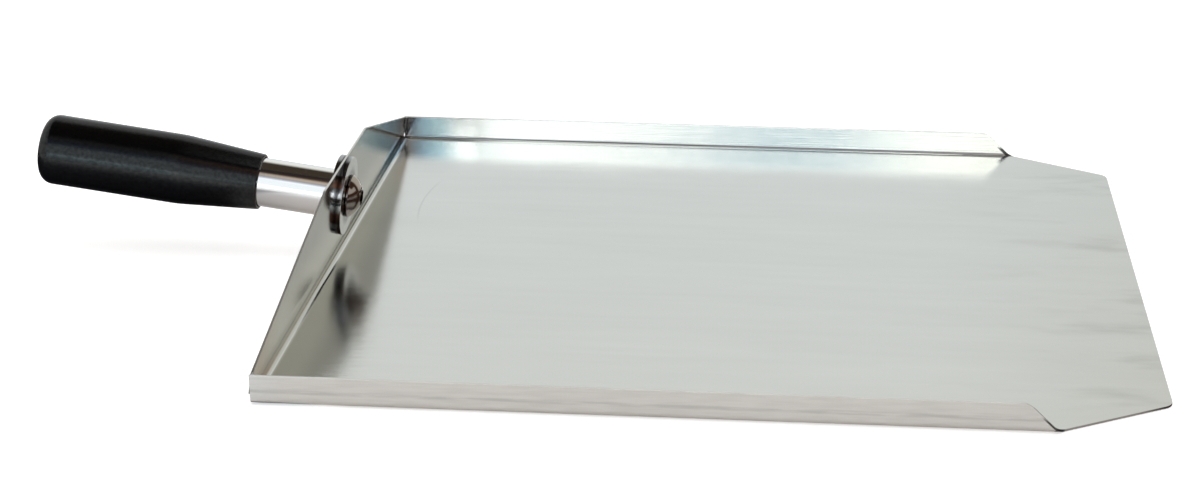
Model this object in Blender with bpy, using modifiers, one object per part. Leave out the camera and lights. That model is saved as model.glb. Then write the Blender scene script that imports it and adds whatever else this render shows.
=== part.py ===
"""Grill spatula: a shallow tray folded from one steel sheet, with a handle screwed to its rear wall."""

import math

import bmesh
import bpy
from mathutils import Matrix, Vector

# Tray sheet, in metres: X runs from the rear fold to the front edge, Y across, Z up from the resting plane
SHEET = 0.0008
SIDE_FOLD_INSIDE = 0.0014
REAR_FOLD_INSIDE = 0.0024
TRAY_LENGTH = 0.3280
TRAY_WIDTH = 0.2960
SIDE_HEIGHT = 0.0112
REAR_HEIGHT = 0.0415
REAR_TOP_WIDTH = 0.0780
REAR_LEAN = math.radians(7.7)

# Cut corners of the sheet
CORNER_CUT_LENGTH = 0.0403
CORNER_CUT_WIDTH = 0.0234
SIDE_END_SETBACK = 0.0130
SIDE_REAR_SETBACK = 0.0012
RELIEF_SLOT = 0.0010
FRONT_CORNER_ROUND = 0.0055
SIDE_END_ROUND = 0.0070
REAR_TOP_ROUND = 0.0050

# Weld that closes each rear corner
SEAM_GAP = 0.00015
WELD_RADIUS = 0.0008
WELD_LENGTH = 0.0058
WELD_INSET = 0.0001

# Screw joint through the rear wall
HANDLE_HEIGHT = 0.0255
SCREW_DIAMETER = 0.0100
SCREW_LENGTH = 0.0250
SCREW_TIP_CHAMFER = 0.0012
HEAD_DIAMETER = 0.0175
HEAD_RIM = 0.0006
HEAD_HEIGHT = 0.0055
SOCKET_FLATS = 0.0060
SOCKET_DEPTH = 0.0034
WASHER_DIAMETER = 0.0326
WASHER_THICKNESS = 0.0020
WASHER_EDGE_ROUND = 0.0002
HOLE_CLEARANCE = 0.0005

# Handle
TUBE_DIAMETER = 0.0200
TUBE_WALL = 0.0015
TUBE_EXPOSED = 0.0304
TUBE_IN_GRIP = 0.0800
BUSH_LENGTH = 0.0200
GRIP_LENGTH = 0.0902
GRIP_TAPER_LENGTH = 0.0330
GRIP_MOUTH_WALL = 0.0011
GRIP_SWELL = 0.0029
GRIP_MOUTH_ROUND = 0.0005
GRIP_TAPER_BLEND = 0.0600
GRIP_END_ROUND = 0.0050

# Gap kept between pieces that seat on each other
SEAT_GAP = 0.0003

# Facets
ROUND_STEPS = 72
FOLD_STEPS = 8
DOME_STEPS = 10
ARC_TOLERANCE = 0.00002
SMOOTH_ANGLE = math.radians(32)

# Sizes that follow from the ones above
SIDE_FOLD = SIDE_FOLD_INSIDE + SHEET
REAR_FOLD = REAR_FOLD_INSIDE + SHEET
SIDE_ANGLE = math.pi / 2
REAR_ANGLE = math.pi / 2 + REAR_LEAN
SIDE_LINE = TRAY_WIDTH / 2 - SIDE_FOLD * math.tan(SIDE_ANGLE / 2)
REAR_LINE = REAR_FOLD * math.tan(REAR_ANGLE / 2)
SCREW_HOLE_RADIUS = SCREW_DIAMETER / 2 + HOLE_CLEARANCE
TUBE_BORE_RADIUS = TUBE_DIAMETER / 2 - TUBE_WALL
GRIP_BORE_RADIUS = TUBE_DIAMETER / 2 + SEAT_GAP
GRIP_MOUTH_RADIUS = GRIP_BORE_RADIUS + GRIP_MOUTH_WALL
GRIP_RADIUS = GRIP_MOUTH_RADIUS + GRIP_SWELL

# Heights along the handle's axis, from the rear wall's outer face: positive towards the grip
OUTER_WASHER_SEAT = SEAT_GAP
TUBE_SEAT = OUTER_WASHER_SEAT + WASHER_THICKNESS + SEAT_GAP
TUBE_END = TUBE_SEAT + TUBE_EXPOSED + TUBE_IN_GRIP
GRIP_SEAT = TUBE_SEAT + TUBE_EXPOSED
INNER_WASHER_SEAT = -SHEET - SEAT_GAP - WASHER_THICKNESS
HEAD_SEAT = INNER_WASHER_SEAT - SEAT_GAP


def rounded(corners):
    """A path through (u, v, radius) corners, with an arc where the radius isn't zero."""
    path = []
    for index, (u, v, radius) in enumerate(corners):
        here = Vector((u, v))
        if not radius:
            path.append(here)
            continue
        into = (here - Vector(corners[index - 1][:2])).normalized()
        out = (Vector(corners[(index + 1) % len(corners)][:2]) - here).normalized()
        turn = math.atan2(into.x * out.y - into.y * out.x, into.dot(out))
        start = here - into * radius * math.tan(abs(turn) / 2)
        centre = start + Vector((-into.y, into.x)) * math.copysign(radius, turn)
        chord_turn = 2 * math.acos(1 - min(ARC_TOLERANCE / radius, 1))
        steps = max(2, math.ceil(abs(turn) / chord_turn))
        spoke = start - centre
        for step in range(steps + 1):
            path.append(centre + Matrix.Rotation(turn * step / steps, 2) @ spoke)
    return path


def dome(radius, height):
    """Points of a spherical cap's outline, from its edge up to its crown on the axis."""
    sphere = (radius**2 + height**2) / (2 * height)
    widest = math.asin(radius / sphere)
    points = []
    for step in range(DOME_STEPS + 1):
        angle = widest * (1 - step / DOME_STEPS)
        points.append((sphere * math.sin(angle), height - sphere * (1 - math.cos(angle))))
    return points


def material(name, colour, roughness, metallic):
    made = bpy.data.materials.new(name)
    made.use_nodes = True
    shader = made.node_tree.nodes["Principled BSDF"]
    shader.inputs["Base Color"].default_value = (*colour, 1)
    shader.inputs["Roughness"].default_value = roughness
    shader.inputs["Metallic"].default_value = metallic
    return made


def place(obj, collection, parent=None):
    for other in obj.users_collection:
        other.objects.unlink(obj)
    collection.objects.link(obj)
    obj.parent = parent
    return obj


def add_cutter(obj, name, parent, location=(0, 0, 0), rotation=(0, 0, 0)):
    """A helper solid that a Boolean reads."""
    obj.name = name
    obj.location = location
    obj.rotation_euler = rotation
    obj.hide_render = True
    obj.display_type = "WIRE"
    return place(obj, cutters, parent)


def boolean(obj, operation, tool):
    modifier = obj.modifiers.new(tool.name, "BOOLEAN")
    modifier.operation = operation
    modifier.solver = "EXACT"
    modifier.object = tool


def settle(obj):
    """Replaces the object's mesh by its evaluated one, shaded smooth between its sharp edges."""
    bpy.context.view_layer.update()
    graph = bpy.context.evaluated_depsgraph_get()
    mesh = bpy.data.meshes.new_from_object(obj.evaluated_get(graph))
    mesh.name = obj.name
    mesh.shade_smooth()
    mesh.set_sharp_from_angle(angle=SMOOTH_ANGLE)
    obj.modifiers.clear()
    obj.data = mesh


def turned(name, outline, finish, closed):
    """A round piece about the handle's axis, from (radius, height) points that run down its outer side."""
    mesh = bpy.data.meshes.new(name)
    last = len(outline) if closed else len(outline) - 1
    edges = [(index, (index + 1) % len(outline)) for index in range(last)]
    mesh.from_pydata([(point[0], 0, point[1]) for point in outline], edges, [])
    mesh.materials.append(finish)
    obj = place(bpy.data.objects.new(name, mesh), spatula, handle_axis)
    screw = obj.modifiers.new("turn", "SCREW")
    screw.steps = ROUND_STEPS
    screw.render_steps = ROUND_STEPS
    screw.use_merge_vertices = True
    screw.merge_threshold = 1e-6
    return obj


def rear_run(height):
    """Length of sheet from the rear fold's start up to a height on the rear wall."""
    fold_top = REAR_FOLD * (1 - math.cos(REAR_ANGLE))
    return REAR_FOLD * REAR_ANGLE + (height - fold_top) / math.sin(REAR_ANGLE)


def tray_blank():
    """Outline of the flat sheet, from the front edge round the left side, then mirrored to the right."""
    side_top = SIDE_LINE + SIDE_FOLD * SIDE_ANGLE + SIDE_HEIGHT - SIDE_FOLD
    cut_start = TRAY_LENGTH - CORNER_CUT_LENGTH
    slot_end = REAR_LINE + RELIEF_SLOT / 2
    wall_foot = REAR_LINE - REAR_FOLD * REAR_ANGLE
    wall_half = TRAY_WIDTH / 2 - SHEET - SEAM_GAP
    left = [
        (TRAY_LENGTH, SIDE_LINE - CORNER_CUT_WIDTH, FRONT_CORNER_ROUND),
        (cut_start, SIDE_LINE, 0),
        (cut_start - SIDE_END_SETBACK, side_top, SIDE_END_ROUND),
        (SIDE_REAR_SETBACK, side_top, 0),
        (SIDE_REAR_SETBACK, SIDE_LINE, 0),
        (slot_end, SIDE_LINE, 0),
        (slot_end, SIDE_LINE - RELIEF_SLOT, 0),
        (wall_foot, SIDE_LINE - RELIEF_SLOT, 0),
        (wall_foot, wall_half, 0),
        (REAR_LINE - rear_run(SIDE_HEIGHT), wall_half, 0),
        (REAR_LINE - rear_run(REAR_HEIGHT), REAR_TOP_WIDTH / 2, REAR_TOP_ROUND),
    ]
    right = [(x, -y, radius) for x, y, radius in reversed(left)]
    return rounded(left + right)


def score(bm, point, normal, belongs):
    """Cuts an edge across the faces of the blank that belong to one fold, along a line of that fold."""
    faces = [face for face in bm.faces if belongs(face.calc_center_median())]
    geometry = set(faces)
    for face in faces:
        geometry.update(face.edges, face.verts)
    bmesh.ops.bisect_plane(bm, geom=list(geometry), dist=1e-7, plane_co=point, plane_no=normal)


def folded(run, radius, angle):
    """How far along and how high a point of the sheet lies after a fold, run past the fold's start."""
    turn = min(run / radius, angle)
    straight = run - radius * turn
    along = radius * math.sin(turn) + straight * math.cos(angle)
    rise = radius * (1 - math.cos(turn)) + straight * math.sin(angle)
    return along, rise


def fold_tray(bm):
    """Scores the flat blank along its fold lines and folds up both sides and the rear wall."""
    for side in (1, -1):
        for step in range(FOLD_STEPS + 1):
            line = SIDE_LINE + SIDE_FOLD * SIDE_ANGLE * step / FOLD_STEPS
            score(bm, (0, side * line, 0), (0, 1, 0), lambda middle: middle.x > REAR_LINE)
    for step in range(FOLD_STEPS + 1):
        line = REAR_LINE - REAR_FOLD * REAR_ANGLE * step / FOLD_STEPS
        score(bm, (line, 0, 0), (1, 0, 0), lambda middle: abs(middle.y) < SIDE_LINE)
    for vertex in bm.verts:
        x, y, _ = vertex.co
        if abs(y) > SIDE_LINE and x > 0:
            along, rise = folded(abs(y) - SIDE_LINE, SIDE_FOLD, SIDE_ANGLE)
            vertex.co = (x, math.copysign(SIDE_LINE + along, y), rise)
        elif x < 0 or (x < REAR_LINE and abs(y) < SIDE_LINE):
            along, rise = folded(REAR_LINE - x, REAR_FOLD, REAR_ANGLE)
            vertex.co = (REAR_LINE - along, y, rise)


def make_tray():
    bm = bmesh.new()
    ring = [bm.verts.new((point.x, point.y, 0)) for point in tray_blank()]
    edges = [bm.edges.new((ring[index - 1], ring[index])) for index in range(len(ring))]
    bmesh.ops.contextual_create(bm, geom=edges)
    bm.normal_update()
    bmesh.ops.reverse_faces(bm, faces=[face for face in bm.faces if face.normal.z > 0])
    fold_tray(bm)
    mesh = bpy.data.meshes.new("tray")
    bm.to_mesh(mesh)
    bm.free()
    mesh.materials.append(material("brushed_steel", (0.62, 0.61, 0.59), 0.28, 1))
    tray = place(bpy.data.objects.new("tray", mesh), spatula, tray_datum)
    shell = tray.modifiers.new("sheet", "SOLIDIFY")
    shell.thickness = SHEET
    shell.offset = -1
    shell.use_even_offset = True
    shell.use_quality_normals = True
    for side in (1, -1):
        boolean(tray, "UNION", weld_bead(side))
    bpy.ops.mesh.primitive_cylinder_add(
        vertices=ROUND_STEPS, radius=SCREW_HOLE_RADIUS, depth=4 * SHEET
    )
    boolean(tray, "DIFFERENCE", add_cutter(bpy.context.object, "screw_hole", handle_axis))
    settle(tray)


def weld_bead(side):
    """A round-ended bead inside the seam of a side wall and the rear wall, flush with their outer faces."""
    middle = SIDE_HEIGHT - WELD_LENGTH / 2
    bpy.ops.mesh.primitive_cylinder_add(vertices=16, radius=WELD_RADIUS, depth=WELD_LENGTH)
    bead = bpy.context.object
    ends = bead.modifiers.new("ends", "BEVEL")
    ends.width = WELD_RADIUS / 2
    ends.segments = 3
    ends.limit_method = "ANGLE"
    ends.angle_limit = math.radians(60)
    depth = WELD_RADIUS + WELD_INSET
    seam = (middle * math.tan(REAR_LEAN) + depth, side * (TRAY_WIDTH / 2 - depth), middle)
    return add_cutter(bead, f"weld_bead_{side}", tray_datum, seam, (0, REAR_LEAN, 0))


def make_washer(name, seat, finish):
    edge = WASHER_EDGE_ROUND
    outline = rounded(
        [
            (WASHER_DIAMETER / 2, seat + WASHER_THICKNESS, edge),
            (WASHER_DIAMETER / 2, seat, edge),
            (SCREW_HOLE_RADIUS, seat, 0),
            (SCREW_HOLE_RADIUS, seat + WASHER_THICKNESS, 0),
        ]
    )
    settle(turned(name, outline, finish, closed=True))


def make_screw(finish):
    tip = HEAD_SEAT + SCREW_LENGTH
    shank = SCREW_DIAMETER / 2
    crown = dome(HEAD_DIAMETER / 2, HEAD_HEIGHT - HEAD_RIM)
    outline = [
        (0, tip),
        (shank - SCREW_TIP_CHAMFER, tip),
        (shank, tip - SCREW_TIP_CHAMFER),
        (shank, HEAD_SEAT),
        (HEAD_DIAMETER / 2, HEAD_SEAT),
    ] + [(radius, HEAD_SEAT - HEAD_RIM - height) for radius, height in crown]
    screw = turned("handle_screw", outline, finish, closed=False)
    bpy.ops.mesh.primitive_cylinder_add(
        vertices=6, radius=SOCKET_FLATS / 2 / math.cos(math.pi / 6), depth=2 * SOCKET_DEPTH
    )
    top = (0, 0, HEAD_SEAT - HEAD_HEIGHT)
    boolean(screw, "DIFFERENCE", add_cutter(bpy.context.object, "hex_socket", handle_axis, top))
    settle(screw)


def make_ring(name, outside, inside, bottom, top, finish):
    """A plain tube or bush."""
    outline = [(outside, top), (outside, bottom), (inside, bottom), (inside, top)]
    settle(turned(name, outline, finish, closed=True))


def make_grip(finish):
    end = GRIP_SEAT + GRIP_LENGTH
    taper_top = GRIP_SEAT + GRIP_TAPER_LENGTH
    outline = rounded(
        [
            (0, end, 0),
            (GRIP_RADIUS, end, GRIP_END_ROUND),
            (GRIP_RADIUS, taper_top, GRIP_TAPER_BLEND),
            (GRIP_MOUTH_RADIUS, GRIP_SEAT, GRIP_MOUTH_ROUND),
            (GRIP_BORE_RADIUS, GRIP_SEAT, 0),
            (GRIP_BORE_RADIUS, TUBE_END + SEAT_GAP, 0),
            (0, TUBE_END + SEAT_GAP, 0),
        ]
    )
    settle(turned("grip", outline, finish, closed=False))


def add_empty(name, location, rotation, parent=None):
    empty = bpy.data.objects.new(name, None)
    empty.location = location
    empty.rotation_euler = rotation
    return place(empty, spatula, parent)


for old in list(bpy.data.objects):
    bpy.data.objects.remove(old)

spatula = bpy.data.collections.new("grill_spatula")
cutters = bpy.data.collections.new("cutters")
bpy.context.scene.collection.children.link(spatula)
bpy.context.scene.collection.children.link(cutters)

# The origin lies under the middle of the floor, and the handle's axis stands square on the rear wall
tray_datum = add_empty("tray_datum", (-TRAY_LENGTH / 2, 0, 0), (0, 0, 0))
handle_axis = add_empty(
    "handle_axis",
    (HANDLE_HEIGHT * math.tan(REAR_LEAN), 0, HANDLE_HEIGHT),
    (0, REAR_LEAN - math.pi / 2, 0),
    tray_datum,
)

polished_steel = material("polished_steel", (0.70, 0.69, 0.67), 0.10, 1)
make_tray()
make_washer("inner_washer", INNER_WASHER_SEAT, polished_steel)
make_washer("outer_washer", OUTER_WASHER_SEAT, polished_steel)
make_screw(material("screw_steel", (0.66, 0.64, 0.62), 0.14, 1))
make_ring(
    "handle_tube",
    TUBE_DIAMETER / 2,
    TUBE_BORE_RADIUS,
    TUBE_SEAT,
    TUBE_END,
    material("tube_steel", (0.72, 0.70, 0.68), 0.08, 1),
)
make_ring(
    "threaded_bush",
    TUBE_BORE_RADIUS - SEAT_GAP,
    SCREW_DIAMETER / 2 + SEAT_GAP,
    TUBE_SEAT,
    TUBE_SEAT + BUSH_LENGTH,
    material("bush_steel", (0.55, 0.55, 0.55), 0.35, 1),
)
make_grip(material("black_plastic", (0.012, 0.013, 0.015), 0.38, 0))
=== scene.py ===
import math

import bmesh
import bpy
from mathutils import Matrix, Vector


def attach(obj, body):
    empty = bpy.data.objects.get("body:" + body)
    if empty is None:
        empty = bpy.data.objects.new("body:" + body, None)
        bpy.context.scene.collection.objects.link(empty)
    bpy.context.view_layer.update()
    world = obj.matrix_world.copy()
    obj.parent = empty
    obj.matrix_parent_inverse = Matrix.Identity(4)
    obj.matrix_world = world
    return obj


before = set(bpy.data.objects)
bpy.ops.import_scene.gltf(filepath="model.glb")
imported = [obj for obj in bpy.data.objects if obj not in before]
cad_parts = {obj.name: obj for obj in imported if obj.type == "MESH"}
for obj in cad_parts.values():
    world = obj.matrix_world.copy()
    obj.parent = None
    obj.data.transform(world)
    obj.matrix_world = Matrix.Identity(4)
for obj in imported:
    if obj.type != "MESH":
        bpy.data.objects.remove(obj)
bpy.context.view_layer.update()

# Sizes of the spatula that its finishes follow, in metres
SHEET = 0.0008
TRAY_HALF_WIDTH = 0.148
SIDE_FOLD = 0.0022
SIDE_HEIGHT = 0.0112
SIDE_END_FOOT = 0.1224
SIDE_END_SLOPE = 1.044
REAR_HEIGHT = 0.0415
REAR_TOP_HALF_WIDTH = 0.039
REAR_CORNER = -0.1632
REAR_LEAN = math.radians(7.7)
HANDLE_LEAN = REAR_LEAN
GRIP_FRONT = (-0.1949, 0.0, 0.0301)
FACET_WELD = 1e-6
REAL_EDGE = math.radians(32)

# Places along the handle's axis, from the grip's front, and the shims' section, in metres
WALL_MIDDLE = -0.035054
INNER_SEAT = -0.035715
OUTER_SEAT = -0.034390
SHIM_REACH = 0.01632
SHIM_BORE = 0.0054
SHIM_THICKNESS = 0.00048
SHIM_STEPS = 96

# Marks and painted shade on the tray, in metres: a pair says where a mark starts and where it is full
SCUFF_RUN = (0.085, 0.165)
FRONT_CUT_START = 0.1
TOP_EDGE = (0.0007, 0.0001)
DIE_MARK_HEIGHT = 0.0052
DIE_MARK_WIDTH = (0.0012, 0.0002)
CREASE_WIDTH = (0.0023, 0.0003)
INNER_FOOT_RUN = (0.0022, 0.0014)
INNER_FOOT_CLIMB = (0.0048, 0.0036)
OUTER_FOOT_RUN = (0.0011, 0.0005)
OUTER_FOOT_CLIMB = (0.0068, 0.0040)
BLUE_REACH = (0.036, 0.029)
STRAW_REACH = (0.045, 0.008)
CORNER_SHADE_REACH = (0.0036, 0.0008)
REAR_DARKENING_CLIMB = (0.010, 0.026)
REAR_DARKENING_TILT = 0.05
FOLD_SHADE_FRONT = (0.10, -0.08)
FOLD_SHADE_REAR = (-0.105, -0.145)
SCRATCH_CENTRE = (-0.019, 0.060)
SCRATCH_RADIUS = 0.1198
SCRATCH_WIDTH = (0.0007, 0.0001)
SCRATCH_FRONT = -0.12
SCRATCH_SPAN = (0.032, 0.050, 0.076, 0.094)

# Painted shade round the screw's head and on the rims inside the wall, in metres
HEAD_SHADE_REACH = (0.0130, 0.0096)
RIM_SHADE_REACH = (0.0022, 0.0008)
RIM_SHADE_END = WALL_MIDDLE + 0.0009
WASHER_HEAD_SHADE = 0.8

# Table top, in metres, and where it is darker or lit for what steel mirrors
TABLE_RADIUS = 0.62
TABLE_SIDES = 64
TABLE_DROP = 0.0003
TABLE_FADE = (0.40, 0.60)
RIGHT_SHADE_X = (0.150, 0.166)
FRONT_SHADE_X = (-0.14, -0.10)
FRONT_SHADE_Y = (-0.21, -0.24)
GRIP_SHADE_X = (-0.198, -0.214)
GRIP_SHADE_Y = (-0.23, -0.07)
TUBE_SHADE_X = (-0.155, -0.170)
TUBE_SHADE_Y = (-0.20, -0.05)
TUBE_SHADE_AMOUNT = 0.4
TRAY_GLOW_X = (-0.23, -0.15)
TUBE_GLOW_X = (-0.15, -0.18)
TUBE_GLOW_Y = (0.0, -0.16)

# Camera, as solved from the photograph's folds and corners
CAMERA_PLACE = (0.04204, -0.87461, 0.34921)
CAMERA_YAW = math.radians(-3.713)
CAMERA_PITCH = math.radians(21.28)
CAMERA_ROLL = math.radians(0.493)
CAMERA_SENSOR = 36
CAMERA_LENS = 69.0
CAMERA_SHIFT = -0.08
CAMERA_NEAR = 0.01

# Lamps, in metres and watts
TOP_LIGHT_PLACE = (-0.1, -0.1, 1.6)
TOP_LIGHT_WIDTH = 1.8
TOP_LIGHT_POWER = 13.0
PANEL_PLACE = (0.25, 0.4, 1.2)
PANEL_WIDTH = 0.7
PANEL_LENGTH = 1.4
PANEL_POWER = 2.4

# Colours, linear
STEEL = (0.600, 0.612, 0.602)
STEEL_SHADE = (0.540, 0.551, 0.541)
STEEL_SCUFF = (0.420, 0.425, 0.415)
REAR_WARM_REFLECTION = (0.455, 0.425, 0.355)
REAR_DARK_REFLECTION = (0.258, 0.241, 0.206)
EDGE_STEEL = (0.70, 0.70, 0.69)
CUT_EDGE_SHADE = (0.16, 0.155, 0.15)
FOOT_DARK_REFLECTION = (0.035, 0.033, 0.030)
PAINTED_FOLD_SHADE = (0.130, 0.130, 0.125)
WELD_CORNER_SHADE = (0.060, 0.060, 0.065)
WELD_NAVY = (0.075, 0.130, 0.185)
WELD_BLUE = (0.125, 0.215, 0.275)
WELD_PALE = (0.300, 0.410, 0.450)
WELD_BRIGHT = (0.760, 0.770, 0.760)
TINT_STRAW = (0.420, 0.300, 0.210)
PUNCHED_RIM = (0.270, 0.280, 0.295)
SEAT_SHADE = (0.060, 0.060, 0.064)
# The screw head's rim is painted with shade
SCREW_RIM_SHADE = (0.085, 0.078, 0.072)
POLISHED = (0.54, 0.530, 0.515)
# The screw's steel carries a painted brown reflection
SCREW_STEEL_AND_REFLECTION = (0.43, 0.385, 0.345)
TUBE_STEEL = (0.76, 0.757, 0.752)
BUSH_GROOVE = (0.50, 0.49, 0.48)
BUSH_RIDGE = (0.60, 0.59, 0.58)
GRIP_BLACK = (0.0004, 0.0005, 0.0007)
GRIP_SCUFF = (0.0016, 0.0019, 0.0025)
GRIP_GLOSS = (0.84, 0.97, 1.0, 1.0)
STUDIO_WHITE = (1.0, 1.0, 1.0)
TABLE_PAPER = (0.80, 0.80, 0.80)
TABLE_FIBRE = (0.82, 0.82, 0.82)
TABLE_GLOW = (0.52, 0.52, 0.52)
TABLE_GLOSS = (0.250, 0.200, 0.165)
TABLE_UNDER_GRIP = (0.05, 0.05, 0.06)
TUBE_GLOSS = (0.34, 0.34, 0.35)
NO_GLOW = (0.0, 0.0, 0.0)

# Light round the spatula, as radiance
SWEEP_LOW = (0.930, 0.980, 0.995)
SWEEP_HIGH = (1.010, 1.015, 0.965)
SKY_BLUE = (0.62, 1.10, 1.40)
SKY_WHITE = (3.60, 3.60, 3.50)
SKY_COOL = (2.90, 3.70, 4.00)
SKY_WARM = (3.90, 3.75, 3.30)
SKY_GLARE = (12.0, 12.8, 13.2)
SKY_SOFT = (1.30, 1.38, 1.38)
SHADE_BLUE = (0.50, 0.66, 0.80)
SCREEN_PALE = (1.16, 1.24, 1.29)
SILL_DARK = (0.10, 0.09, 0.08)
VALANCE_AMBER = (0.90, 0.43, 0.23)
VALANCE_SHADE = (0.36, 0.42, 0.56)
VALANCE_EMBER = (0.50, 0.23, 0.14)
GARDEN_BLUE = (0.95, 1.00, 1.03)
LEFT_WHITE = (0.88, 0.88, 0.87)
DIM_WARM = (0.74, 0.73, 0.67)
DIM_WHITE = (0.90, 0.89, 0.86)
SIDE_BROWN = (0.070, 0.034, 0.020)
SIDE_GREY = (0.62, 0.61, 0.59)
CEILING_DARK = (0.052, 0.040, 0.028)
CEILING_PALE = (0.66, 0.65, 0.63)

# Heat tint and painted reflection on the side walls by distance from the weld, in metres, with painted
# shade at the weld itself
BLUE_TINT_AND_REFLECTION_STOPS = [
    (0.0012, WELD_CORNER_SHADE),
    (0.005, WELD_NAVY),
    (0.009, WELD_BLUE),
    (0.017, WELD_PALE),
    (0.026, WELD_BRIGHT),
]

# The room by degrees of turn: 0 is behind the camera, positive to the right
ROOM_ROUND = [
    (-140, STUDIO_WHITE),
    (-115, LEFT_WHITE),
    (-45, LEFT_WHITE),
    (-30, GARDEN_BLUE),
    (14, GARDEN_BLUE),
    (18, SHADE_BLUE),
    (34, SIDE_GREY),
    (104, SIDE_GREY),
    (109, SIDE_BROWN),
    (120, SIDE_BROWN),
    (128, DIM_WARM),
    (164, DIM_WARM),
    (171, DIM_WHITE),
    (177, STUDIO_WHITE),
]

# The window by degrees of turn, then its level and what hangs above it by degrees of climb
WINDOW_VIEW = [
    (-30, GARDEN_BLUE),
    (-20, GARDEN_BLUE),
    (-17, SKY_COOL),
    (-11.5, SKY_COOL),
    (-10.5, SKY_WHITE),
    (-3.5, SKY_WHITE),
    (-2.7, SKY_BLUE),
    (0.1, SKY_BLUE),
    (0.9, SKY_WHITE),
    (4.6, SKY_WARM),
    (5.6, SKY_SOFT),
    (11.0, SKY_SOFT),
    (12.4, SKY_WHITE),
    (15.0, SKY_WHITE),
    (16.4, SHADE_BLUE),
    (26.0, SHADE_BLUE),
    (30, SIDE_GREY),
]
WINDOW_LEVELS = [
    (-2, 0.47),
    (4, 0.60),
    (9, 1.30),
    (14, 1.70),
    (18, 1.10),
    (21, 1.00),
    (25, 0.80),
    (29, 0.50),
]
VALANCE_CLIMB = [
    (34, (1.90, 1.95, 2.00)),
    (38, (1.30, 1.38, 1.50)),
    (44, (0.66, 0.70, 0.76)),
    (50, (0.44, 0.42, 0.42)),
    (54, (0.60, 0.53, 0.45)),
    (61, (0.60, 0.49, 0.38)),
    (66, (0.25, 0.18, 0.13)),
    (70, (0.080, 0.052, 0.037)),
    (88, (0.055, 0.037, 0.028)),
]

# Where each thing in the room starts and is full, or starts, is full, fades and ends, in degrees
SWEEP_CLIMB = (14, 28)
BEHIND_TURN = (150, 170)
LOW_SIDE_TURN = (24, 34, 109, 122)
LOW_SIDE_CLIMB = (10, 6)
OVER_SIDE_TURN = (82, 86, 144, 152)
OVER_SIDE_CLIMB = (20.5, 24)
BACK_TURN = (118, 126)
BACK_LIFT = 16
TALL_SIDE_TURN = (97, 101, 120, 126)
TALL_SIDE_CLIMB = (37, 33)
PASSED_TURN = (24, 34, 144, 152)
PASSED_FOOT = (10, 15)
PASSED_TOP = (31, 27)
CEILING_CLIMB = (36, 58)
GLARE_TURN = (12.4, 13.4, 15.6, 16.8)
GLARE_CLIMB = (6, 10, 18, 22)
SILL_TURN = (4.8, 5.6)
SILL_CLIMB = (8, 3)
FOLDS_TURN = (-11, -9.5, -4.5, -3.0)
AMBER_TURN = (2, 12)
AMBER_CLIMB = (64, 56)
VALANCE_FOOT = (32, 36)
EMBER_TURN = (8, 16)
EMBER_CLIMB = (34, 38)
PATCH_TURN = (16, 20)
PATCH_CLIMB = (42, 46, 54, 58)
SCREEN_CLIMB = (5, 12, 34, 40)
OPENING_TURN = (30, 26)
OPENING_CLIMB = (-8, -2)

# The beam overhead, by the X of the direction that looks at it
BEAM_MIDDLE = -0.08
PANEL_EDGES = (0.30, 0.42)

# Ray depths that tell a second and a third reflection from those before
SECOND_REFLECTION = 2.5
THIRD_REFLECTION = 3.5


class Shade:
    """One output socket of a node. Arithmetic on it adds Math nodes to the same tree."""

    def __init__(self, tree, socket):
        self.tree = tree
        self.socket = socket

    def math(self, operation, first, second=0.0):
        node = self.tree.nodes.new("ShaderNodeMath")
        node.operation = operation
        for slot, value in zip(node.inputs, (first, second)):
            if isinstance(value, Shade):
                self.tree.links.new(value.socket, slot)
            else:
                slot.default_value = value
        return Shade(self.tree, node.outputs[0])

    def __add__(self, other):
        return self.math("ADD", self, other)

    __radd__ = __add__

    def __mul__(self, other):
        return self.math("MULTIPLY", self, other)

    __rmul__ = __mul__

    def __sub__(self, other):
        return self.math("SUBTRACT", self, other)

    def __rsub__(self, other):
        return self.math("SUBTRACT", other, self)

    def __truediv__(self, other):
        return self.math("DIVIDE", self, other)

    def __gt__(self, other):
        return self.math("GREATER_THAN", self, other)

    def __lt__(self, other):
        return self.math("LESS_THAN", self, other)

    def __abs__(self):
        return self.math("ABSOLUTE", self)

    def most(self, other):
        """The larger of the two."""
        return self.math("MAXIMUM", self, other)

    def least(self, other):
        """The smaller of the two."""
        return self.math("MINIMUM", self, other)

    def part(self, name):
        """Another output of the same node."""
        return Shade(self.tree, self.socket.node.outputs[name])


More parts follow.
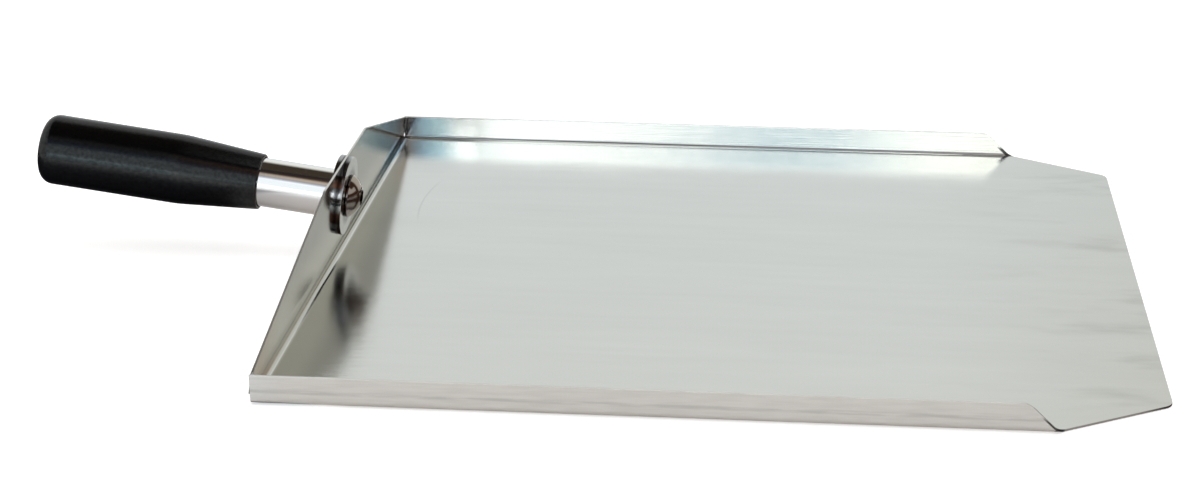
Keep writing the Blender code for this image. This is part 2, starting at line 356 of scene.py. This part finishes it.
class Painter:
    """Adds nodes to one node tree."""

    def __init__(self, tree):
        self.tree = tree

    def add(self, kind, settings=None, sockets=None, give=0):
        """One output of a new node of this kind, with its settings first, then its sockets."""
        node = self.tree.nodes.new(kind)
        for name, value in (settings or {}).items():
            if name == "stops":
                self.set_stops(node.color_ramp.elements, value)
            else:
                setattr(node, name, value)
        for name, value in (sockets or {}).items():
            if isinstance(value, Shade):
                self.tree.links.new(value.socket, node.inputs[name])
            else:
                node.inputs[name].default_value = value
        return Shade(self.tree, node.outputs[give])

    def set_stops(self, elements, stops):
        for index, (place, shade) in enumerate(stops):
            element = elements[index] if index < 2 else elements.new(place)
            element.position = place
            element.color = colour(shade)

    def ramp(self, value, low, high, stops):
        """A colour for each value between low and high, from stops at some of them."""
        placed = [((at - low) / (high - low), shade) for at, shade in stops]
        share = (value - low) / (high - low)
        return self.add("ShaderNodeValToRGB", {"stops": placed}, {"Fac": share}, "Color")

    def rise(self, value, low, high):
        """0 below low, 1 above high and smooth between, or falling where low is the larger."""
        sockets = {"Value": value, "From Min": low, "From Max": high}
        return self.add("ShaderNodeMapRange", {"interpolation_type": "SMOOTHSTEP"}, sockets, "Result")

    def span(self, value, start, full, fade, end):
        """1 from full to fade, and smooth down to 0 at start and at end."""
        return self.rise(value, start, full) * self.rise(value, end, fade)

    def noise(self, vector, scale, detail=2.0, rough=0.5):
        sockets = {"Vector": vector, "Scale": scale, "Detail": detail, "Roughness": rough}
        return self.add("ShaderNodeTexNoise", None, sockets, "Fac")

    def point(self, x, y, z):
        return self.add("ShaderNodeCombineXYZ", None, {"X": x, "Y": y, "Z": z})

    def length(self, vector):
        return self.add("ShaderNodeVectorMath", {"operation": "LENGTH"}, {0: vector}, "Value")

    def blend(self, amount, first, second):
        """Between two colours."""
        sockets = {0: amount, 6: colour(first), 7: colour(second)}
        return self.add("ShaderNodeMix", {"data_type": "RGBA"}, sockets, 2)

    def tint(self, amount, first, second):
        """The first colour, multiplied by the second in this amount."""
        settings = {"data_type": "RGBA", "blend_type": "MULTIPLY"}
        return self.add("ShaderNodeMix", settings, {0: amount, 6: colour(first), 7: colour(second)}, 2)

    def bump(self, height, distance, strength=1.0, normal=None):
        sockets = {"Height": height, "Distance": distance, "Strength": strength}
        if normal:
            sockets["Normal"] = normal
        return self.add("ShaderNodeBump", None, sockets, "Normal")

    def place(self):
        """X, Y and Z of the surface in the spatula's own frame."""
        here = self.add("ShaderNodeTexCoord", None, None, "Object")
        axes = self.add("ShaderNodeSeparateXYZ", None, {"Vector": here}, "X")
        return axes, axes.part("Y"), axes.part("Z")

    def facing(self):
        """X, Y and Z of the surface's normal in the spatula's own frame."""
        normal = self.add("ShaderNodeTexCoord", None, None, "Normal")
        axes = self.add("ShaderNodeSeparateXYZ", None, {"Vector": normal}, "X")
        return axes, axes.part("Y"), axes.part("Z")


def colour(value):
    return value if isinstance(value, Shade) else (*value, 1.0)


class Finish(Painter):
    """A material whose Principled shader takes constants by value and the rest by link."""

    def __init__(self, name, **constants):
        self.material = bpy.data.materials.new(name)
        self.material.use_nodes = True
        super().__init__(self.material.node_tree)
        self.shader = self.tree.nodes["Principled BSDF"]
        for socket, value in constants.items():
            self.shader.inputs[socket.replace("_", " ")].default_value = value

    def feed(self, **links):
        for socket, value in links.items():
            self.tree.links.new(value.socket, self.shader.inputs[socket.replace("_", " ")])
        return self.material


def tray_finish():
    """Bright stainless sheet. Its grain follows the flat sheet, so it climbs the rear wall."""
    finish = Finish("brushed_sheet", Metallic=1.0)
    x, y, z = finish.place()
    face_x, face_y, face_z = finish.facing()
    across = abs(y)
    on_side = across > TRAY_HALF_WIDTH - SIDE_FOLD
    on_rear = (z > 2 * SHEET) * (1 - on_side)
    outside = across > TRAY_HALF_WIDTH - SHEET / 2
    along_grain = x * (1 - on_rear) + z * on_rear
    over_grain = y * (1 - on_side) + z * on_side

    # Fine brushing, broader streaks, soft handling marks and scuffs that thicken towards the front edge
    hair_run = finish.point(along_grain * 16, over_grain * 2600, on_side + on_rear)
    hairs = finish.noise(hair_run, 1.0, 2.0, 0.5)
    streaks = finish.noise(finish.point(along_grain * 9, over_grain * 210, on_rear), 1.0, 3.0, 0.6)
    bands = finish.noise(finish.point(along_grain * 7, over_grain * 38, on_rear), 1.0, 3.0, 0.55)
    smudges = finish.noise(finish.point(x, y, z), 22.0, 3.0, 0.55)
    scuffs = finish.noise(finish.point(along_grain * 15, over_grain * 46, on_rear), 1.0, 3.0, 0.6)
    scuffed = finish.rise(scuffs, 0.48, 0.74) * (0.10 + 0.90 * finish.rise(x, *SCUFF_RUN))
    grain = 0.20 + hairs * 0.20 + finish.rise(streaks, 0.2, 0.8) * 0.22
    grain = grain + finish.rise(bands, 0.25, 0.75) * 0.38

    # Bare cut edges of the sheet: tops of the walls and the front outline
    slope = (REAR_HEIGHT - SIDE_HEIGHT) / (TRAY_HALF_WIDTH - SHEET - REAR_TOP_HALF_WIDTH)
    slanted_top = SIDE_HEIGHT + (TRAY_HALF_WIDTH - SHEET - across) * slope
    wall_top = slanted_top.least(REAR_HEIGHT) * on_rear + SIDE_HEIGHT * (1 - on_rear)
    near_top = finish.rise(wall_top - z, *TOP_EDGE)
    front_cut = (abs(face_z) < 0.5) * (z < SHEET * 1.1) * (x > FRONT_CUT_START)
    edge = near_top.most(front_cut)

    # Line that the bending die left outside the side walls, painted shade along the crease inside their
    # folds, and a painted dark reflection at the feet of their front ends
    rubbed = finish.noise(finish.point(x * 60, y * 60, z * 700), 1.0, 3.0, 0.6)
    die_mark = finish.rise(abs(z - DIE_MARK_HEIGHT), *DIE_MARK_WIDTH) * outside
    die_mark = die_mark * finish.rise(rubbed, 0.25, 0.65)
    fold_shade = finish.rise(abs(across - TRAY_HALF_WIDTH + SIDE_FOLD), *CREASE_WIDTH)
    fold_shade = fold_shade * (z > SHEET * 0.8)
    fold_shade_amount = 0.45 * finish.rise(x, *FOLD_SHADE_FRONT) + 0.45 * finish.rise(x, *FOLD_SHADE_REAR)
    # A painted dark reflection at the feet of the side walls' front ends, inside and outside
    end_gap = SIDE_END_FOOT - z * SIDE_END_SLOPE - x
    inner_foot = finish.rise(end_gap, *INNER_FOOT_RUN) * finish.rise(z, *INNER_FOOT_CLIMB)
    outer_foot = finish.rise(end_gap, *OUTER_FOOT_RUN) * finish.rise(z, *OUTER_FOOT_CLIMB)
    scale = (inner_foot * (1 - outside) + outer_foot * outside) * on_side

    # Heat tint round the welded rear corners: blue inside the side walls, which is partly a painted
    # reflection, straw on the rear wall
    lean_gap = x - REAR_CORNER - z * math.tan(REAR_LEAN)
    from_weld = finish.length(finish.point(lean_gap, TRAY_HALF_WIDTH - SHEET - across, 0.0))
    from_weld = from_weld + (smudges - 0.5) * 0.004
    blue_tint_and_reflection = finish.ramp(from_weld, 0.0, BLUE_REACH[0], BLUE_TINT_AND_REFLECTION_STOPS)
    blued_and_reflected = finish.rise(from_weld, *BLUE_REACH) * on_side * (1 - outside)
    strawed = finish.rise(from_weld, *STRAW_REACH) * on_rear * (face_x > 0.5)
    # Painted shade deep in the inner corner at the weld
    corner_shaded = finish.rise(from_weld, *CORNER_SHADE_REACH) * (1 - outside) * (z > SHEET * 0.8)

    # One long scratch on the floor before the rear wall, an arc
    scratch_run = finish.point(x - SCRATCH_CENTRE[0], y - SCRATCH_CENTRE[1], 0.0)
    scratch = finish.rise(abs(finish.length(scratch_run) - SCRATCH_RADIUS), *SCRATCH_WIDTH)
    scratch = scratch * (x < SCRATCH_FRONT) * (z < 2 * SHEET) * finish.span(y, *SCRATCH_SPAN)

    base = finish.blend(grain, STEEL_SHADE, STEEL)
    # The rear wall carries a painted warm reflection, darker higher up and towards the far side wall
    rear_reflection = finish.blend(finish.rise(z + y * REAR_DARKENING_TILT, *REAR_DARKENING_CLIMB), REAR_WARM_REFLECTION, REAR_DARK_REFLECTION)
    base = finish.blend(on_rear * 0.85, base, rear_reflection)
    # The inner faces of the side walls get a little painted shade
    base = finish.blend(on_side * (1 - outside) * 0.15, base, PAINTED_FOLD_SHADE)
    base = finish.blend(blued_and_reflected, base, blue_tint_and_reflection)
    base = finish.blend(strawed * 0.85, base, TINT_STRAW)
    base = finish.blend(corner_shaded * 0.85, base, WELD_CORNER_SHADE)
    base = finish.blend(scuffed * 0.65, base, STEEL_SCUFF)
    # Painted shade along the crease inside the side folds, stronger towards the rear
    base = finish.blend(fold_shade * fold_shade_amount, base, PAINTED_FOLD_SHADE)
    base = finish.blend(edge * 0.6, base, EDGE_STEEL)
    # Painted shade on the cut edges of the front outline that face the sides
    base = finish.blend(front_cut * (abs(face_y) > 0.3) * 0.8, base, CUT_EDGE_SHADE)
    base = finish.blend(outside * finish.rise(rubbed, 0.35, 0.70) * 0.30, base, STEEL_SCUFF)
    base = finish.blend(die_mark * 0.7, base, STEEL_SCUFF)
    # The painted dark reflection at the feet of the front ends
    base = finish.blend(scale * 0.94, base, FOOT_DARK_REFLECTION)
    base = finish.blend(scratch * 0.35, base, STEEL_SCUFF)
    roughness = 0.095 + grain * 0.03 + smudges * 0.03 + scuffed * 0.05 - on_rear * 0.03
    roughness = roughness + edge * 0.18 + die_mark * 0.06 + scale * 0.2
    normal = finish.bump(hairs * (1 - 0.75 * on_rear), 0.00003)
    normal = finish.bump(smudges, 0.0004, 0.25, normal)
    return finish.feed(Base_Color=base, Roughness=roughness, Normal=normal)


def along_handle(finish):
    """Distance along the handle's axis from the grip's front, and the two offsets square to it."""
    x, y, z = finish.place()
    run_x = x - GRIP_FRONT[0]
    run_z = z - GRIP_FRONT[2]
    along = run_z * math.sin(HANDLE_LEAN) - run_x * math.cos(HANDLE_LEAN)
    rise = run_z * math.cos(HANDLE_LEAN) + run_x * math.sin(HANDLE_LEAN)
    return along, y, rise


def polished_finish(name, base_colour, rim_colour, dull, ring_scale, head_shade=0.0):
    """Polished steel with faint rings round the handle's axis, wipe marks, painted shade round the head
    and in the seat, and its own rim.
    """
    finish = Finish(name, Metallic=1.0)
    along, aside, rise = along_handle(finish)
    rings = finish.noise(finish.point(along * ring_scale, aside * 12, rise * 12), 1.0, 2.0, 0.5)
    wipes = finish.noise(finish.point(along, aside, rise), 160.0, 3.0, 0.6)
    face_x, _, face_z = finish.facing()
    on_face = abs(face_z * math.sin(HANDLE_LEAN) - face_x * math.cos(HANDLE_LEAN))
    base = finish.blend(wipes * 0.5, base_colour, tuple(0.82 * part for part in base_colour))
    from_axis = finish.length(finish.point(0.0, aside, rise))
    # Painted shade on the face round the screw's head
    base = finish.blend(finish.rise(from_axis, *HEAD_SHADE_REACH) * head_shade, base, SEAT_SHADE)
    # Painted shade on the rim where it sits in the wall
    rim_shade = finish.rise(abs(along - WALL_MIDDLE), *RIM_SHADE_REACH) * (along < RIM_SHADE_END)
    rim = finish.blend(rim_shade * 0.8, rim_colour, SEAT_SHADE)
    base = finish.blend(on_face < 0.2, base, rim)
    roughness = dull + rings * 0.05 + wipes * 0.05
    normal = finish.bump(rings, 0.000012, 0.25)
    return finish.feed(Base_Color=base, Roughness=roughness, Normal=normal)


def bush_finish():
    """Turned steel with tool marks round the axis."""
    finish = Finish("turned_bush", Metallic=1.0)
    along, aside, rise = along_handle(finish)
    rings = finish.noise(finish.point(along * 2600, aside * 20, rise * 20), 1.0, 2.0, 0.5)
    base = finish.blend(rings, BUSH_GROOVE, BUSH_RIDGE)
    normal = finish.bump(rings, 0.00004, 0.4)
    return finish.feed(Base_Color=base, Roughness=0.26 + rings * 0.14, Normal=normal)


def grip_finish():
    """Black satin moulding: fine pebble grain, flow mottling and slight rub."""
    finish = Finish(
        "black_moulding",
        Metallic=0.0,
        Specular_IOR_Level=0.10,
        Specular_Tint=GRIP_GLOSS,
        Coat_IOR=1.40,
        Coat_Roughness=0.16,
    )
    along, aside, rise = along_handle(finish)
    here = finish.point(along, aside, rise)
    pebble = finish.noise(here, 2600.0, 2.0, 0.5)
    mottle = finish.noise(here, 760.0, 3.0, 0.6)
    rub = finish.noise(finish.point(along * 40, aside * 70, rise * 70), 1.0, 4.0, 0.65)
    worn = finish.rise(rub, 0.52, 0.78)
    base = finish.blend(worn * 0.5 + pebble * 0.2, GRIP_BLACK, GRIP_SCUFF)
    roughness = 0.16 + pebble * 0.05 + mottle * 0.05 - worn * 0.04
    normal = finish.bump(pebble, 0.00004, 0.35)
    normal = finish.bump(mottle, 0.00010, 0.5, normal)
    # The sheen fades where the moulding turns away, as its pebbles hide one another
    turned = finish.add("ShaderNodeLayerWeight", None, {"Blend": 0.5}, "Facing")
    sheen = finish.rise(turned, 0.62, 0.28) * (0.55 + 0.45 * finish.rise(mottle, 0.36, 0.62))
    return finish.feed(Base_Color=base, Roughness=roughness, Coat_Weight=sheen, Normal=normal)


def shade_smooth(node):
    """Even shading over the node's facets, broken only at its real edges."""
    node.data.shade_smooth()
    weld = node.modifiers.new("weld_facets", "WELD")
    weld.merge_threshold = FACET_WELD
    split = node.modifiers.new("real_edges", "EDGE_SPLIT")
    split.split_angle = REAL_EDGE
    split.use_edge_sharp = False
    even = node.modifiers.new("even_normals", "WEIGHTED_NORMAL")
    even.mode = "FACE_AREA"
    even.weight = 100
    even.keep_sharp = False


def dress(finishes):
    for name, finish in finishes.items():
        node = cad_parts[name]
        shade_smooth(node)
        node.material_slots[0].material = finish


def add_shim(name, along, finish):
    """A thin ring that fills the seat between a washer and the rear wall."""
    half = SHIM_THICKNESS / 2
    section = [(SHIM_BORE, -half), (SHIM_REACH, -half), (SHIM_REACH, half), (SHIM_BORE, half)]
    bm = bmesh.new()
    # Laid row by row, because a spin gives its faces another order each run
    rows = []
    for step in range(SHIM_STEPS):
        turn = 2 * math.pi * step / SHIM_STEPS
        places = [(radius * math.cos(turn), radius * math.sin(turn), height) for radius, height in section]
        rows.append([bm.verts.new(place) for place in places])
    for row, beyond in zip(rows, rows[1:] + rows[:1]):
        for corner in range(len(section)):
            bm.faces.new((row[corner - 1], row[corner], beyond[corner], beyond[corner - 1]))
    bmesh.ops.recalc_face_normals(bm, faces=bm.faces)
    mesh = bpy.data.meshes.new(name)
    bm.to_mesh(mesh)
    bm.free()
    mesh.materials.append(finish)
    shim = bpy.data.objects.new(name, mesh)
    axis = Vector((-math.cos(HANDLE_LEAN), 0, math.sin(HANDLE_LEAN)))
    shim.location = Vector(GRIP_FRONT) + along * axis
    shim.rotation_euler = (0, HANDLE_LEAN - math.pi / 2, 0)
    bpy.context.scene.collection.objects.link(shim)
    shade_smooth(shim)
    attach(shim, "root")


def table_finish():
    """Pale paper white, shaded or lit in places for what steel mirrors, and white at its edge."""
    finish = Finish("table_white", Roughness=0.7)
    finish.shader.inputs["Emission Strength"].default_value = 1.0
    here = finish.add("ShaderNodeTexCoord", None, None, "Object")
    paper = finish.noise(here, 30.0, 2.0, 0.5)
    x = finish.add("ShaderNodeSeparateXYZ", None, {"Vector": here}, "X")
    y = x.part("Y")
    path = finish.add("ShaderNodeLightPath", None, None, "Is Camera Ray")
    mirrored = path.part("Is Glossy Ray").most(path.part("Is Transmission Ray"))

    right_end = finish.rise(x, *RIGHT_SHADE_X)
    far_front = finish.rise(x, *FRONT_SHADE_X) * finish.rise(y, *FRONT_SHADE_Y)
    in_shade = right_end.most(far_front)
    under_grip = finish.rise(x, *GRIP_SHADE_X) * finish.rise(y, *GRIP_SHADE_Y)
    under_tube = finish.rise(x, *TUBE_SHADE_X) * finish.rise(y, *TUBE_SHADE_Y) * TUBE_SHADE_AMOUNT
    base = finish.blend(paper, TABLE_PAPER, TABLE_FIBRE)
    base = finish.blend(mirrored * in_shade, base, SIDE_BROWN)
    base = finish.blend(mirrored * under_grip.most(under_tube), base, TABLE_UNDER_GRIP)

    before_tray = finish.rise(x, *TRAY_GLOW_X) * (1 - in_shade)
    before_tube = finish.rise(x, *TUBE_GLOW_X) * finish.rise(y, *TUBE_GLOW_Y)
    glow = finish.blend(mirrored * before_tray, NO_GLOW, TABLE_GLOSS)
    glow = finish.blend(mirrored * before_tube, glow, TUBE_GLOSS)
    fade = finish.blend(finish.rise(finish.length(here), *TABLE_FADE), TABLE_GLOW, STUDIO_WHITE)
    glow = finish.blend(path, glow, fade)
    return finish.feed(Base_Color=base, Emission_Color=glow)


def white_floor():
    """A wide pale table top that takes the spatula's shadow."""
    bm = bmesh.new()
    bmesh.ops.create_circle(bm, cap_ends=True, radius=TABLE_RADIUS, segments=TABLE_SIDES)
    mesh = bpy.data.meshes.new("table_top")
    bm.to_mesh(mesh)
    bm.free()
    mesh.materials.append(table_finish())
    floor = bpy.data.objects.new("table_top", mesh)
    floor.location = (0, 0, -TABLE_DROP)
    bpy.context.scene.collection.objects.link(floor)


def dark_side(studio, turn, climb, twice, thrice):
    """The dark right side: low down, overhead, and where steel passes it on to steel."""
    low_side = studio.span(turn, *LOW_SIDE_TURN) * studio.rise(climb, *LOW_SIDE_CLIMB)
    # It starts higher towards the back
    back_lift = studio.rise(turn, *BACK_TURN) * BACK_LIFT
    over_side = studio.span(turn, *OVER_SIDE_TURN) * studio.rise(climb - back_lift, *OVER_SIDE_CLIMB)
    over_side = over_side * (1 - twice)
    reach = studio.span(turn, *TALL_SIDE_TURN) * studio.rise(climb, *TALL_SIDE_CLIMB)
    reach = reach.most(studio.rise(climb, *PASSED_TOP))
    passed_on = (studio.rise(climb, *PASSED_FOOT) * reach * twice).most(thrice)
    passed_on = passed_on * studio.span(turn, *PASSED_TURN)
    return low_side.most(over_side).most(passed_on)


def window_view(studio, turn, climb, twice, thrice):
    """What stands in the window from left to right, and what hangs above it."""
    view = studio.ramp(turn, -30, 30, WINDOW_VIEW)
    levels = [(at, (level, level, level)) for at, level in WINDOW_LEVELS]
    view = studio.tint(1.0, view, studio.ramp(climb, -10, 40, levels))
    glare = studio.span(turn, *GLARE_TURN) * studio.span(climb, *GLARE_CLIMB)
    view = studio.blend(glare, view, SKY_GLARE)
    view = studio.blend(studio.rise(turn, *SILL_TURN) * studio.rise(climb, *SILL_CLIMB), view, SILL_DARK)

    valance = studio.ramp(climb, 30, 90, VALANCE_CLIMB)
    valance = studio.tint(1 - studio.span(turn, *FOLDS_TURN), valance, VALANCE_SHADE)
    amber = studio.rise(turn, *AMBER_TURN) * studio.rise(climb, *AMBER_CLIMB)
    valance = studio.blend(amber, valance, VALANCE_AMBER)
    view = studio.blend(studio.rise(climb, *VALANCE_FOOT), view, valance)
    ember = studio.blend(studio.rise(turn, *EMBER_TURN), VALANCE_EMBER, SIDE_BROWN)
    view = studio.blend(thrice * studio.rise(climb, *EMBER_CLIMB), view, ember)
    glow_patch = studio.rise(turn, *PATCH_TURN) * studio.span(climb, *PATCH_CLIMB)
    view = studio.blend(glow_patch * twice * (1 - thrice), view, VALANCE_EMBER)

    # A pale screen before the window, which only a first reflection shows
    screened = studio.span(climb, *SCREEN_CLIMB) * (1 - twice)
    return studio.blend(screened, view, SCREEN_PALE)


def studio_world():
    """A room for the steel to mirror. Its dark side and window change after a first reflection."""
    world = bpy.data.worlds.new("studio")
    bpy.context.scene.world = world
    world.use_nodes = True
    studio = Painter(world.node_tree)
    looking = studio.add("ShaderNodeTexCoord", None, None, "Generated")
    x = studio.add("ShaderNodeSeparateXYZ", None, {"Vector": looking}, "X")
    y, height = x.part("Y"), x.part("Z")
    # Degrees round from behind the camera, positive to the right, and degrees up
    turn = x.math("DEGREES", x.math("ARCTAN2", x, y * -1))
    climb = x.math("DEGREES", x.math("ARCSINE", height))
    path = studio.add("ShaderNodeLightPath", None, None, "Is Camera Ray")
    twice = path.part("Ray Depth") > SECOND_REFLECTION
    thrice = path.part("Ray Depth") > THIRD_REFLECTION

    # Walls, with a white sweep behind the spatula
    sweep = studio.blend(studio.rise(climb, *SWEEP_CLIMB), SWEEP_LOW, SWEEP_HIGH)
    room = studio.ramp(turn, -180, 180, ROOM_ROUND)
    room = studio.tint(studio.rise(abs(turn), *BEHIND_TURN), room, sweep)
    room = studio.blend(dark_side(studio, turn, climb, twice, thrice), room, SIDE_BROWN)
    # A dark beam crosses the ceiling above the handle, between pale panels
    panels = studio.rise(abs(x - BEAM_MIDDLE), *PANEL_EDGES) * (1 - twice)
    ceiling = studio.blend(panels, CEILING_DARK, CEILING_PALE)
    room = studio.blend(studio.rise(climb, *CEILING_CLIMB), room, ceiling)
    opening = studio.rise(abs(turn), *OPENING_TURN) * studio.rise(climb, *OPENING_CLIMB)
    room = studio.blend(opening, room, window_view(studio, turn, climb, twice, thrice))

    shown = studio.blend(path, room, STUDIO_WHITE)
    background = world.node_tree.nodes["Background"]
    world.node_tree.links.new(shown.socket, background.inputs["Color"])
    background.inputs["Strength"].default_value = 1.0


def top_light():
    """A broad soft lamp overhead that polished steel doesn't mirror."""
    lamp = bpy.data.lights.new("top_light", "AREA")
    lamp.shape = "DISK"
    lamp.size = TOP_LIGHT_WIDTH
    lamp.energy = TOP_LIGHT_POWER
    holder = bpy.data.objects.new("top_light", lamp)
    holder.location = TOP_LIGHT_PLACE
    holder.visible_glossy = False
    bpy.context.scene.collection.objects.link(holder)


def ceiling_panel():
    """A pale panel overhead that the tray's floor mirrors when it's seen from above."""
    lamp = bpy.data.lights.new("ceiling_panel", "AREA")
    lamp.shape = "RECTANGLE"
    lamp.size = PANEL_WIDTH
    lamp.size_y = PANEL_LENGTH
    lamp.energy = PANEL_POWER
    holder = bpy.data.objects.new("ceiling_panel", lamp)
    holder.location = PANEL_PLACE
    holder.visible_camera = False
    bpy.context.scene.collection.objects.link(holder)


def photo_camera():
    """The camera at the photograph's viewing angle."""
    ahead = Vector(
        (
            math.sin(CAMERA_YAW) * math.cos(CAMERA_PITCH),
            math.cos(CAMERA_YAW) * math.cos(CAMERA_PITCH),
            -math.sin(CAMERA_PITCH),
        )
    )
    level = Vector((math.cos(CAMERA_YAW), -math.sin(CAMERA_YAW), 0))
    upright = level.cross(ahead)
    right = math.cos(CAMERA_ROLL) * level + math.sin(CAMERA_ROLL) * upright
    up = math.cos(CAMERA_ROLL) * upright - math.sin(CAMERA_ROLL) * level
    aim = Matrix((right, up, -ahead)).transposed().to_4x4()
    camera = bpy.data.objects.new("camera", bpy.data.cameras.new("camera"))
    bpy.context.scene.collection.objects.link(camera)
    camera.matrix_world = Matrix.Translation(CAMERA_PLACE) @ aim
    camera.data.sensor_width = CAMERA_SENSOR
    camera.data.lens = CAMERA_LENS
    camera.data.shift_x = CAMERA_SHIFT
    camera.data.clip_start = CAMERA_NEAR
    bpy.context.scene.camera = camera


bpy.context.scene.view_settings.view_transform = "Standard"
washer_steel = polished_finish("polished_washer", POLISHED, PUNCHED_RIM, 0.06, 900, WASHER_HEAD_SHADE)
dress(
    {
        "tray": tray_finish(),
        "inner_washer": washer_steel,
        "outer_washer": washer_steel,
        "handle_screw": polished_finish("polished_screw", SCREW_STEEL_AND_REFLECTION, SCREW_RIM_SHADE, 0.07, 700),
        "handle_tube": polished_finish("polished_tube", TUBE_STEEL, TUBE_STEEL, 0.04, 1100),
        "threaded_bush": bush_finish(),
        "grip": grip_finish(),
    }
)
# The shims are painted with the seat's shade, a dark seam between each washer and the wall
seat_shade_steel = polished_finish("shaded_seat", SEAT_SHADE, SEAT_SHADE, 0.10, 900)
add_shim("inner_shim", INNER_SEAT, seat_shade_steel)
add_shim("outer_shim", OUTER_SEAT, seat_shade_steel)
white_floor()
studio_world()
top_light()
ceiling_panel()
photo_camera()
